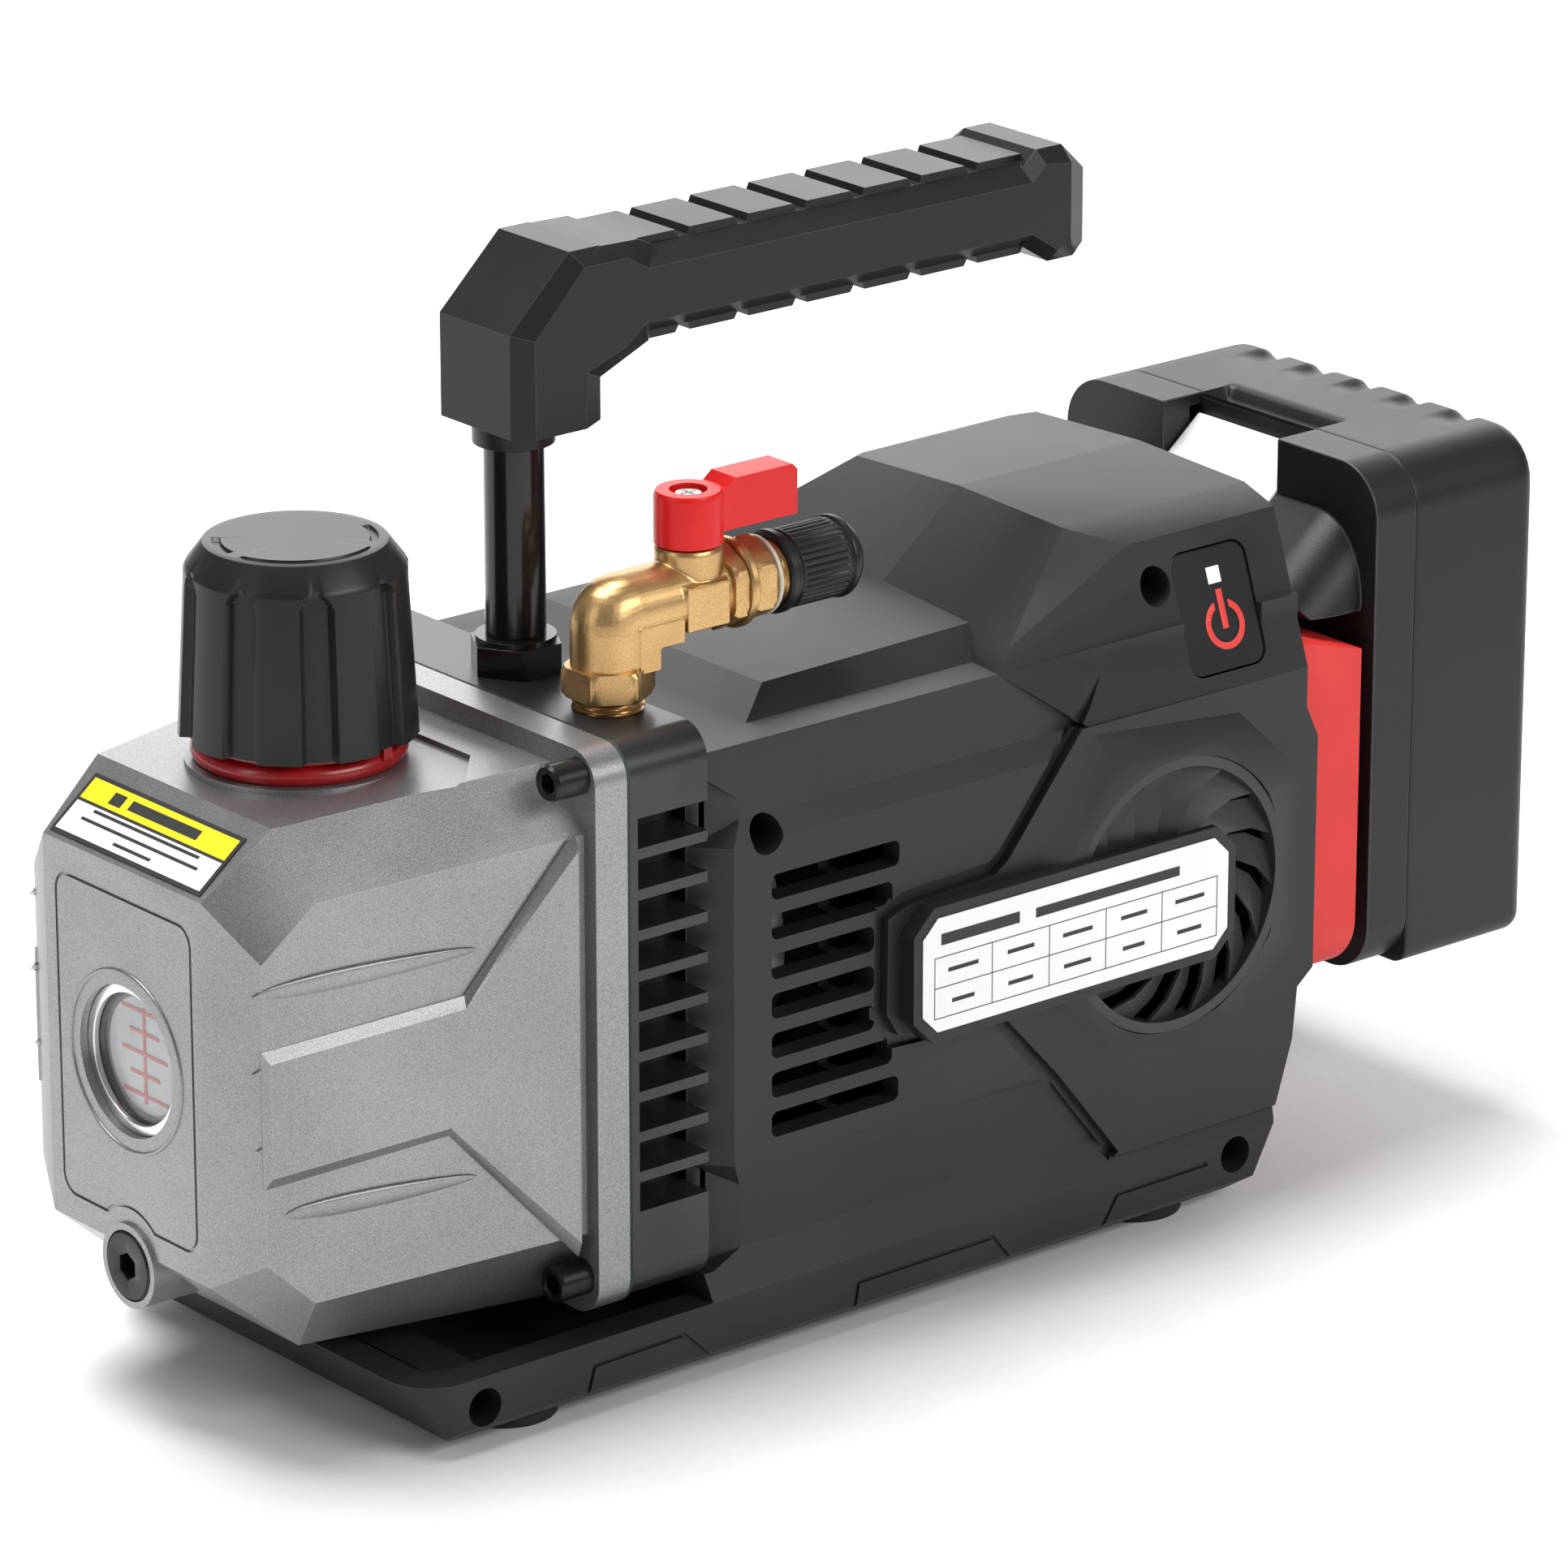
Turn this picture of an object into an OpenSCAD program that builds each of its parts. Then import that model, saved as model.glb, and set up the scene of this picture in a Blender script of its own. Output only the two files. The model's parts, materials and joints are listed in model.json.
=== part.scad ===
// Cordless two-stage rotary vane vacuum pump: every piece, in millimetres.
// X runs from the oil tank to the battery, Y is across and Z is up.
// The pieces are laid out with x = 0 on the handle post and z = 0 under the base.
// place() then moves them, so the origin is on the ground under the middle of the pump.

/* [Housing] */
// Height of the pump shaft above the underside of the base
shaft_z = 84; // [83:0.5:85]
// Half of the width of the base tray
base_half = 62; // [61:0.5:63]
// Half of the width of the housing at its plain side band
side_half = 57; // [56.5:0.1:57.5]
// Half of the width at the slotted side panel
panel_half = 60; // [59.5:0.1:60.5]
// Half of the width at the raised octagon around the fan grille
frame_half = 64; // [63.5:0.1:64.5]
// Height of the flat top of the housing
housing_top = 146; // [145.5:0.1:146.5]
// Thickness of the housing's wall
wall = 3; // [2.5:0.1:3.5]
// Radius of the fan opening
fan_open_r = 34.3; // [33.5:0.1:35]
// Radius of the four rubber feet
foot_r = 12; // [10:0.5:13]
// How far the feet stand out under the base
foot_h = 4; // [3:0.5:6]

/* [Oil tank] */
// Half of the width of the tank's flange and of the pump block
block_half = 60.5; // [60:0.1:61]
// Thickness of the cast wall
tank_wall = 4.5; // [4:0.1:5]
// Radius of the sight glass opening
sight_r = 17.8; // [17.5:0.1:18]
// Radius of the threaded filler hole under the exhaust cap
filler_r = 17; // [16.5:0.1:17.5]
// Radius of the threaded drain hole
drain_r = 6; // [5.5:0.1:6.5]

/* [Handle] */
// Radius of the handle post
post_r = 7; // [6.5:0.1:7.5]
// Half of the width of the grip
grip_half = 16.6; // [16:0.1:17]
// Height of the top of the grip
grip_top = 252.8; // [252.4:0.1:253.2]
// Number of ridges on the grip
ridge_count = 7; // [5:1:7]

/* [Inlet valve] */
// Radius of the inlet thread in the pump block
inlet_r = 8.3; // [8:0.1:8.4]
// Radius of the valve's passage
passage_r = 4; // [3.5:0.1:4.2]
// Radius of the ball
ball_r = 6.8; // [6.5:0.1:7]
// Radius of the flare port's thread
port_r = 7.94; // [7.8:0.01:8]

/* [Battery] */
// Half of the width of the battery
battery_half = 56; // [55:0.5:57]
// Radius of one battery cell
cell_r = 9.1; // [9:0.05:9.2]

/* [Hidden] */
$fn = 64;
run_gap = 0.05;          // radial clearance of a turning or sliding fit
front_x = 7;             // front face of the housing, against the pump block
flange_x = -16;          // face between the tank flange and the pump block
tray_top = 14;
tray_floor = 6;
rear_x = 194.3;          // rearmost face of the housing
fan_pos = [147.5, 81];   // centre of the fan opening, x and z
grille_seat_r = 37.5;    // seat of the grille's flange, behind the fan opening
cap_x = -61.5;           // axis of the exhaust cap
spot_z = 146;            // flat seat round the filler hole
inlet_pos = [-0.7, -34.6];
pipe_r = 8.6;
pipe_z = 175;            // axis of the horizontal brass pipe
stem_x = 22.7;           // axis of the valve stem
lean = 19.4;             // lean of the housing's shoulder from the vertical, degrees
button_pos = [166.5, -54.7, 146];
button_size = [24, 29.7];
screw_spots = [[25, 123], [148.7, 154.6], [169, 9], [-59, 6.5]];  // x and z of the housing screws
screw_mouths = [-60, -51, -62, -62];                              // y of each screw's mouth
tank_screw_spots = [for (y = [-54.5, 54.5], z = [27, 147]) [y, z]];
block_top = 153;
drain_z = 35;
rotor_r = 17;
bore_r = 20;
rotor_spans = [[-43.9, flange_x + 0.7], [-65.9, -50.1]];
vane_half = 1.55;
bore_drop = bore_r - rotor_r - 0.1;  // the rotor almost touches the top of the pumping bore
motor_r = 38;
dock_face = 212;
battery_face = 217;
seam_x = 230;
battery_end = 271;
battery_slope = atan2(13.3, 16.3);       // slope of the latch and the nose, from the horizontal
x_middle = (-112.4 + battery_end) / 2;   // the drain plug's head is the foremost point

side_outline = [[-68, 0], [-77, tray_top], [front_x, tray_top], [front_x, 180], [190.5, 180], [190.5, 118],
  [rear_x, 110], [rear_x, 51], [189.3, 47], [188, 34], [182, 15], [175, 2], [167, 0]];
tongue_line = [[134.7, 155.3], [121.2, 133.3], [95.3, 102.1], [91.6, 99.6], [65.6, 98.5], [58.3, 95.8],
  [58, 71], [62.2, 63.9], [93.2, 62.3], [111.2, 42.6], [130.8, 18]];

// ---- shapes that repeat ----

function both(points) = concat(points, [for (p = points) [p.x, -p.y, p.z]]);
function at_y(outline, y) = [for (p = outline) [p.x, y, p.y]];

module place() {
  translate([-x_middle, 0, foot_h]) children();
}

module hull_of(points) {
  hull() polyhedron(points, [for (i = [0:len(points) - 3]) [i, i + 1, i + 2]]);
}

module box(low, high) {
  translate(low) cube(high - low);
}

// Cylinders along an axis, from one coordinate to another
module rod_x(r, x0, x1, y = 0, z = shaft_z) {
  translate([x0, y, z]) rotate([0, 90, 0]) cylinder(r = r, h = x1 - x0);
}

module rod_y(r, y0, y1, x, z) {
  translate([x, y1, z]) rotate([90, 0, 0]) cylinder(r = r, h = y1 - y0);
}

module rod_z(r, z0, z1, x, y) {
  translate([x, y, z0]) cylinder(r = r, h = z1 - z0);
}

module tube_x(outer, inner, x0, x1, y = 0, z = shaft_z) {
  difference() {
    rod_x(outer, x0, x1, y, z);
    rod_x(inner, x0 - 1, x1 + 1, y, z);
  }
}

// A drawing in x and z, given thickness from y0 to y1
module across(y0, y1) {
  translate([0, y1, 0]) rotate([90, 0, 0]) linear_extrude(y1 - y0) children();
}

// A drawing in y and z, given length from x0 to x1
module along(x0, x1) {
  translate([x0, 0, 0]) rotate([90, 0, 90]) linear_extrude(x1 - x0) children();
}

module rounded_square(low, high, r) {
  translate([low.x + r, low.y]) square([high.x - low.x - 2 * r, high.y - low.y]);
  translate([low.x, low.y + r]) square([high.x - low.x, high.y - low.y - 2 * r]);
  for (x = [low.x + r, high.x - r], y = [low.y + r, high.y - r]) translate([x, y]) circle(r);
}

module cut_square(low, high, c) {
  polygon([[low.x + c, low.y], [high.x - c, low.y], [high.x, low.y + c], [high.x, high.y - c],
    [high.x - c, high.y], [low.x + c, high.y], [low.x, high.y - c], [low.x, low.y + c]]);
}

// A line of points moved sideways by t, with mitred corners
function beside(points, t) = [for (i = [0:len(points) - 1])
  let (k = max(i, 1), m = min(i, len(points) - 2),
    before = (points[k] - points[k - 1]) / norm(points[k] - points[k - 1]),
    after = (points[m + 1] - points[m]) / norm(points[m + 1] - points[m]),
    normal = [-before.y - after.y, before.x + after.x] / norm(before + after))
  points[i] + normal * t / (normal * [-before.y, before.x])];

// A band of one width along a line of points
module band(points, width) {
  far_side = beside(points, -width / 2);
  polygon(concat(beside(points, width / 2), [for (i = [len(points) - 1:-1:0]) far_side[i]]));
}

// A closed skin over rings that all have the same number of points
module skin(rings) {
  n = len(rings[0]);
  last = len(rings) - 1;
  sides = [for (k = [0:last - 1], i = [0:n - 1], half = [0, 1])
    half == 0 ? [k * n + i, (k + 1) * n + i, (k + 1) * n + (i + 1) % n]
      : [k * n + i, (k + 1) * n + (i + 1) % n, k * n + (i + 1) % n]];
  ends = [[for (i = [0:n - 1]) i], [for (i = [n - 1:-1:0]) last * n + i]];
  polyhedron([for (ring = rings) each ring], concat(sides, ends));
}

module on_button() {
  translate(button_pos) rotate([90 - lean, 0, 0]) children();
}

// ---- housing ----

module side_panels() {
  // slotted panel, with sloped borders
  hull_of(concat(
    at_y([[15, 45], [15, 122], [134, 122], [134, 45]], -panel_half),
    at_y([[front_x, 45], [front_x, 122]], 8 - panel_half),
    at_y([[19, 38.5], [19, 127.5], [134, 127.5], [134, 38.5]], -side_half)));
  // shoulder, leaning inwards as it rises
  hull_of([[133, 0, 170], [190.5, 0, 170], [133, -37.3, 168.5], [190.5, -37.5, 168.5], [143.6, -48, 164.7],
    [190.5, -48, 165], [190.5, -61, 128], [118, -55.8, 142.8], [96, -57, 145.4], [101, -55, 150],
    [112, 0, 152], [96, 0, 140], [121, -60.5, 128], [190.5, 0, 128]]);
  // rear platform
  across(-61, -50) intersection() {
    polygon(side_outline);
    polygon(concat([for (i = [2:len(tongue_line) - 1]) tongue_line[i]], [[200, 18], [200, 128], [117, 128]]));
  }
  // octagon round the fan
  hull_of(concat(
    at_y([[122.6, 126], [168.9, 121.5], [189, 102.6], [189, 58.7], [168.2, 41.3], [124.5, 40.3], [105, 62],
      [105, 99]], -60.9),
    at_y([[126.4, 118.2], [161, 117.3], [175.4, 102.9], [175.4, 65], [160, 50.4], [125, 49], [113, 66],
      [113, 98]], -frame_half)));
}

// Solid outer form of one half, without its raised panels
module half_form() {
  intersection() {
    across(-80, 0) polygon(side_outline);
    union() {
      along(-80, 200) polygon([[0, 0], [-60, 0], [-base_half, 2], [-base_half, tray_top], [0, tray_top]]);
      along(front_x, 200) polygon([[0, 10], [-base_half, tray_top], [-side_half, 23],
        [-side_half, housing_top - 0.6], [0, housing_top]]);
    }
    linear_extrude(200) rounded_square([-77, -base_half], [300, base_half], 12);
  }
}

// Slanted front corner between the housing's side and the pump block
module front_corner() {
  hull_of([[front_x - 1, -52, 20], [19, -57, 23], [14, -66, 20], [front_x - 1, -66, 20],
    [front_x - 1, -52, 141], [19, -57, 132], [14, -66, 136], [front_x - 1, -66, 141]]);
}

// Pad on the flat top
module top_pad() {
  hull_of([[29, -47, 145.4], [96, -47, 145.4], [118, -43, 145.4], [29, 0, 145.4], [118, 0, 145.4],
    [40, -39.6, 151], [108, -36.7, 151], [40, 0, 151], [111.4, 0, 151]]);
}

module housing_room() {
  across(-54, 1) polygon([[front_x + wall, 17], [179.4, 17], [184.9, 34], [186.2, 48], [187.3, 52],
    [187.3, housing_top - wall], [front_x + wall, housing_top - wall]]);
  hull_of([[126, 1, 140], [187, 1, 140], [126, -46, 140], [187, -51, 140], [135, -36, 164.5],
    [187, -43, 162.5], [187, -36, 164.5], [135, 1, 166], [187, 1, 166]]);
  rod_y(grille_seat_r, 3.5 - frame_half, 1, fan_pos.x, fan_pos.y);
}

// Tray under the tank
module tray_well() {
  translate([0, 0, tray_floor]) linear_extrude(30) intersection() {
    rounded_square([-68.3, -53.5], [front_x + 20, 53.5], 6);
    translate([-100, -100]) square([100 + front_x, 200]);
  }
}

module inner_ribs() {
  // screw bosses
  for (i = [0:2]) rod_y(7.6, screw_mouths[i] + 4, 0, screw_spots[i].x, screw_spots[i].y);
  box([-65, -54, 1], [-53, 0, 12]);
  // ribs that hold the motor
  for (x = [48, 92]) along(x, x + 3) difference() {
    translate([-55, 15]) square([55, 129]);
    translate([0, shaft_z]) circle(motor_r);
  }
  for (x = [165, 181]) rod_z(3, 152, 166.5, x, -25);
}

module vent_slots() {
  right_end = [64, 62, 56.5, 56.5, 56.5, 62, 64];
  for (i = [0:6])
    translate([0, 0, 107 - 9.65 * i]) across(-70, -50) rounded_square([26, 0], [right_end[i], 6.2], 1.8);
}

// Lines cut into the outside: round the tongue, and the fields on the base
module outside_grooves() {
  across(-70, -58.4) band(tongue_line, 3.2);
  across(-70, 0.7 - base_half) {
    band([[-30.7, -2], [-27.6, 8], [-1.6, 8.5], [9.1, -2]], 1);
    band([[48.6, -2], [50.5, 7.5], [91.7, 7.8], [99.4, -2]], 1);
    band([[124, -2], [131, 8.5], [160, 8.8]], 1);
  }
}

// One half of the housing. The screws' mouths are on the near half only.
module housing_half(near) {
  difference() {
    union() {
      difference() {
        union() {
          difference() {
            half_form();
            front_corner();
          }
          side_panels();
          top_pad();
        }
        housing_room();
        tray_well();
      }
      difference() {
        inner_ribs();
        rod_y(fan_open_r, -70, -50, fan_pos.x, fan_pos.y);
      }
    }
    vent_slots();
    outside_grooves();
    rod_y(fan_open_r, -70, -50, fan_pos.x, fan_pos.y);
    rod_x(30, front_x - 1, front_x + wall + 1);
    for (i = [0:3]) {
      if (near) rod_y(4.6, -80, -9, screw_spots[i].x, screw_spots[i].y);
      rod_y(2, near ? -20 : -16, 1, screw_spots[i].x, screw_spots[i].y);
    }
    box([-50, -50, -1], [150, 1, 2.4]);
    for (x = [-41, 150]) rod_z(4, -1, 4, x, -46);
    box([180, -16, 86], [200, 1, 112]);
  }
  // bridge across the fan opening, under the rating label
  difference() {
    across(-frame_half - 2, -panel_half) cut_square([63.4, 63.4], [163.6, 96.6], 6);
    rod_y(fan_open_r, -frame_half, -50, fan_pos.x, fan_pos.y);
    rod_y(grille_seat_r, 3.5 - frame_half, -50, fan_pos.x, fan_pos.y);
  }
}

module housing_right() {
  color("#37383a") difference() {
    housing_half(true);
    on_button() translate([0, 0, -9]) linear_extrude(20)
      rounded_square(-button_size / 2 - [0.3, 0.3], button_size / 2 + [0.3, 0.3], 4.3);
    rod_z(inlet_r + 0.5, 138, 160, inlet_pos.x, inlet_pos.y);
  }
}

module housing_left() {
  color("#37383a") mirror([0, 1, 0]) housing_half(false);
}

module housing_screws() {
  color("dimgray") for (p = screw_spots) difference() {
    union() {
      rod_y(3.8, -12.4, -9, p.x, p.y);
      rod_y(2 - run_gap, -9, 15, p.x, p.y);
    }
    rod_y(1.6, -13, -10.6, p.x, p.y, $fn = 6);
  }
}

module feet() {
  color("#1c1c1d") for (x = [-41, 150], y = [-46, 46]) {
    rod_z(foot_r, -foot_h, 0, x, y);
    rod_z(4 - run_gap, 0, 3.5, x, y);
  }
}

// Curved louvre blades in a ring
module fan_grille(blades = 15) {
  face = 0.6 - frame_half;
  difference() {
    union() {
      rod_y(fan_open_r - 0.2, face, 3.5 - frame_half, fan_pos.x, fan_pos.y);
      rod_y(fan_open_r + 2.5, 3.5 - frame_half, 5 - frame_half, fan_pos.x, fan_pos.y);
    }
    rod_y(fan_open_r - 2.8, -70, -50, fan_pos.x, fan_pos.y);
  }
  rod_y(9, face + 0.6, 5 - frame_half, fan_pos.x, fan_pos.y);
  for (i = [0:blades - 1]) skin([for (k = [0:4])
    let (r = 8 + k * 6.1, turn = i * 360 / blades - 34 * pow(k / 4, 1.4), width = 19)
    [for (c = [[0, 0.6], [0, 1.8], [width, 4.6], [width, 3.4]])
      [fan_pos.x + r * cos(turn + c[0]), face + c[1], fan_pos.y + r * sin(turn + c[0])]]]);
}

module fan_grille_right() {
  color("#2c2d2f") fan_grille();
}

module fan_grille_left() {
  color("#2c2d2f") mirror([0, 1, 0]) fan_grille();
}

module rating_label() {
  color("white") across(-frame_half - 2.3, -frame_half - 2) cut_square([66, 66], [161, 94], 4.5);
}

module power_button() {
  color("#242526") on_button() {
    translate([0, 0, -3]) linear_extrude(3) rounded_square(-button_size / 2, button_size / 2, 4);
    translate([0, 0, -6.5]) cylinder(r = 2.5, h = 4);
  }
}

module power_icon() {
  color("#d8403c") on_button() translate([1.5, -4, 0]) linear_extrude(0.2) {
    difference() {
      circle(6);
      circle(4.4);
      translate([-2.2, 0]) square([4.4, 8]);
    }
    translate([-0.9, -1]) square([1.8, 9.5]);
  }
}

module status_light() {
  color("white") on_button() translate([1, 8, 0]) linear_extrude(0.2) square(4, center = true);
}

module button_switch() {
  color("#202020") {
    box([161, -45.5, 137], [173, -38, 149.9]);
  }
}

module control_board() {
  color("darkgreen") box([160, -44, 149.9], [186, 44, 151.9]);
}

// ---- oil tank ----

// Corners of the cast tank, moved inwards by t, as far back as rear
function tank_points(t, rear) = both([
  [-111 + t, 30 - t / 2, 39 + t / 2], [-111 + t, 30 - t / 2, 130 - t / 2],
  [-93.5 + t / 2, 33 - t / 2, 144 - t], [rear, 45 - t / 2, 148 - t],
  [-104.7 + t, 43.3 - t, 46.7 + t / 2], [-104.7 + t, 43.3 - t, 117.7 - t / 2],
  [-91.3 + t / 2, 45.6 - t, 129.8 - t / 2], [rear, 57 - t, 133.8 - t / 2],
  [rear, 57 - t, 38 + t / 2], [-93.2 + t / 2, 45.3 - t, 35.6 + t / 2],
  [-89.2 + t / 2, 33 - t / 2, 20.3 + t], [rear, 42 - t / 2, 17.8 + t]]);

module on_tank_side() {
  translate([-104.7, -43.3, 0]) rotate([0, 0, -9.76]) children();
}

// Raised band that crosses the tank's side
module side_band() {
  on_tank_side() hull() {
    across(-1.8, 3) polygon([[1, 68], [47, 71.5], [50, 99], [1, 95]]);
    across(-0.1, 3) polygon([[-0.5, 65], [46, 69], [50, 101.5], [-0.5, 97.5]]);
  }
  on_tank_side() hull() {
    across(-1.8, 3) polygon([[45.5, 71], [52, 69], [78, 37], [78, 131], [49, 98.5]]);
    across(-0.1, 3) polygon([[45.5, 69], [51.5, 66.6], [78, 33], [78, 135], [49, 100.5]]);
  }
}

module front_panel(inset) {
  difference() {
    rounded_square([inset - 26, 45 + inset], [26 - inset, 123 - inset], 5 - inset);
    translate([0, drain_z]) circle(13.5 + inset);
  }
}

module oil_tank() {
  color("#8d8f91") difference() {
    union() {
      difference() {
        union() {
          hull_of(tank_points(0, flange_x - 4));
          side_band();
          mirror([0, 1, 0]) side_band();
        }
        // pocket and round seat on the top
        translate([0, 0, spot_z]) linear_extrude(20) polygon([[-100, -50], [-45.7, -40.2], [-35.3, -28.6],
          [-35.3, 28.6], [-45.7, 40.2], [-100, 50]]);
      }
      rod_z(26, spot_z - 6, spot_z, cap_x, 0);
      rod_x(10, -112, -88, 0, drain_z);
      along(flange_x - 9, flange_x) rounded_square([-block_half, 18], [block_half, block_top], 8);
    }
    difference() {
      hull_of(tank_points(tank_wall, flange_x + 1));
      rod_x(23, -112, -92, 0, shaft_z);
      rod_x(10, -112, -92, 0, drain_z);
      rod_z(22, spot_z - 10, spot_z, cap_x, 0);
    }
    // groove round the front panel, which arches over the drain
    along(-114, -110.4) difference() {
      front_panel(0);
      front_panel(0.8);
    }
    rod_x(sight_r, -115, -102.6, 0, shaft_z);
    rod_x(14, -115, -80, 0, shaft_z);
    rod_x(8.4, -115, -108.5, 0, drain_z);
    rod_x(drain_r, -115, -80, 0, drain_z);
    rod_z(filler_r, spot_z - 20, spot_z + 5, cap_x, 0);
    for (p = tank_screw_spots) rod_x(3, flange_x - 20, flange_x + 1, p.x, p.y);
  }
}

module tank_gasket() {
  color("#2a4a3a") along(flange_x, flange_x + 0.8) difference() {
    rounded_square([-block_half, 18], [block_half, block_top], 8);
    rounded_square([-50, 30], [50, 136], 8);
    for (p = tank_screw_spots) translate(p) circle(3);
  }
}

module tank_screws() {
  color("#232323") for (p = tank_screw_spots) difference() {
    union() {
      rod_x(4.3, flange_x - 18, flange_x - 9, p.x, p.y);
      rod_x(2.5, flange_x - 9, flange_x + 12, p.x, p.y);
    }
    rod_x(2.3, flange_x - 19, flange_x - 14, p.x, p.y, $fn = 6);
  }
}

module sight_glass() {
  color("lightcyan") rod_x(sight_r - run_gap, -107.4, -104.6, 0, shaft_z);
}

module sight_ring() {
  color("silver") tube_x(sight_r - run_gap, 15.3, -109, -107.4);
}

module sight_oring() {
  color("#1a1a1a") tube_x(sight_r - run_gap, 14.4, -104.6, -102.6);
}

module level_plate() {
  color("gainsboro") rod_x(14 - run_gap, -104.2, -101, 0, shaft_z);
}

module level_marks() {
  color("red") {
    box([-104.5, -0.4, 72.5], [-104.2, 0.4, 95.5]);
    for (i = [0:4]) {
      reach = i % 2 == 0 ? 8.5 : 5.5;
      box([-104.5, -reach, 74 + i * 5], [-104.2, reach, 74.8 + i * 5]);
    }
  }
}

module drain_plug() {
  color("#1f2021") difference() {
    union() {
      rod_x(8.2, -112.4, -110, 0, drain_z);
      rod_x(drain_r - run_gap, -110, -97, 0, drain_z);
    }
    rod_x(2.9, -113, -108.4, 0, drain_z, $fn = 6);
  }
}

module drain_oring() {
  color("#101010") tube_x(8.1, drain_r + 0.1, -110, -108.5, 0, drain_z);
}

// Plate on the sloping front edge of the tank
module caution_label() {
  color("gold") translate([-111, 0, 130]) rotate([0, -atan2(14, 17.5), 0])
    box([1.4, -28.5, 0], [18, 28.5, 0.3]);
}

// ---- exhaust ----

module exhaust_cap() {
  grip = [[0, 152], [27.3, 152], [26.9, 160], [25, 190], [23.8, 194], [21, 197], [0, 197]];
  room = [[0, 150], [23, 150], [23, 158], [21.5, 190], [0, 190]];
  color("#242526") translate([cap_x, 0, 0]) {
    difference() {
      rotate_extrude() polygon(grip);
      rotate_extrude() polygon(room);
      for (i = [0:7]) rotate(i * 45 + 11) translate([0, 0, 150]) rotate_extrude(angle = 23)
        polygon([[25.6, 0], [30, 0], [30, 35], [23.6, 35]]);
      // ring groove in the top
      translate([0, 0, 196.4]) difference() {
        cylinder(r = 17.2, h = 2);
        cylinder(r = 16.2, h = 2);
      }
    }
    // threaded spigot
    difference() {
      union() {
        translate([0, 0, 134]) cylinder(r = filler_r - run_gap, h = 20);
        translate([0, 0, 152]) cylinder(r = 24, h = 2);
      }
      translate([0, 0, 130]) cylinder(r = 13.6, h = 30);
    }
  }
}

module cap_ring() {
  color("#b3151c") difference() {
    union() {
      rod_z(24.5, spot_z, 149.4, cap_x, 0);
      rod_z(23.6, 149.4, 152, cap_x, 0);
    }
    rod_z(filler_r + 0.3, spot_z - 1, 153, cap_x, 0);
  }
}

module exhaust_filter() {
  color("khaki") rod_z(13.6, 136, 190, cap_x, 0);
}

// ---- pump block and handle ----

module pump_block() {
  color("#2b2c2e") difference() {
    along(flange_x + 0.8, front_x) rounded_square([-block_half, 19], [block_half, block_top], 8);
    // pockets between the cooling fins
    for (side = [-1, 1], i = [0:9])
      translate([0, 0, 128.6 - 9.7 * i]) box([-13, side * 56 - 8, 0], [front_x + 1, side * 56 + 8, 7.1]);
    rod_x(8 + run_gap, -20, 10);
    rod_x(14, 2, 10);
    rod_z(6, 139, 160, 0, 0);
    rod_z(inlet_r, 141, 160, inlet_pos.x, inlet_pos.y);
    rod_z(passage_r, 118, 145, inlet_pos.x, inlet_pos.y);
    for (p = tank_screw_spots) rod_x(2.5, -20, 0, p.x, p.y);
  }
}

module handle_nut() {
  color("#1d1e1f") difference() {
    union() {
      rod_z(11.2, block_top, block_top + 7, 0, 0, $fn = 6);
      rod_z(9.4, block_top + 7, block_top + 8.4, 0, 0);
    }
    rod_z(post_r, block_top - 1, block_top + 10, 0, 0);
  }
}

module handle_post() {
  color("#1b1b1c") {
    rod_z(post_r, block_top, 233, 0, 0);
    rod_z(6, 140, block_top, 0, 0);
  }
}

module post_collar() {
  color("#222324") difference() {
    rod_z(9.5, 207, 212, 0, 0);
    rod_z(post_r, 200, 220, 0, 0);
  }
}

module handle_grip() {
  edge = grip_half - 3.8;
  color("#2a2b2d") difference() {
    union() {
      // upright end
      hull_of(both(concat(
        at_y([[-6.4, 212], [-6.4, 235], [7.8, 249.7], [8.4, 225], [8.1, 212]], grip_half),
        at_y([[-10.8, 212], [-10.8, 236.3], [6.3, grip_top], [15, grip_top], [15, 222], [15, 212]], edge))));
      // elbow
      hull_of(both(concat(
        at_y([[7.8, 249.7], [20.1, 249.7], [26.3, 246.2], [25.3, 233.6], [19.9, 229.1], [13.4, 229.4],
          [8.4, 225]], grip_half),
        at_y([[6.3, grip_top], [26, grip_top - 0.5], [31, 250], [29, 228], [20, 226], [15, 222]], edge))));
      // bar
      hull_of(both(concat(
        at_y([[25, 233.7], [25, 246.2], [143, 246.2], [143, 233.7]], grip_half),
        at_y([[25, 250], [143, 250], [143, 229.5], [25, 229.5]], 10.8))));
      // flared end
      hull_of(both(concat(
        at_y([[141, 246.2], [145, 250], [153, 249], [153, 231], [149, 228.5], [141, 233.7]], grip_half),
        at_y([[145, grip_top], [153, grip_top], [160, 246], [160, 228], [157, 225], [149, 225], [141, 230],
          [141, 249]], edge))));
      // ridges above and below the bar
      for (i = [0:ridge_count - 1]) {
        x = 38.5 + i * 17.3;
        across(-10.6, 10.6) polygon([[x - 14, 249.5], [x - 13, 251.8], [x, 251.8], [x + 1.5, 249.5]]);
        across(-10.6, 10.6) polygon([[x - 14, 230], [x - 13, 227.6], [x, 227.6], [x + 1.5, 230]]);
      }
    }
    rod_z(post_r, 200, 233, 0, 0);
  }
}

// ---- inlet valve ----

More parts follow.
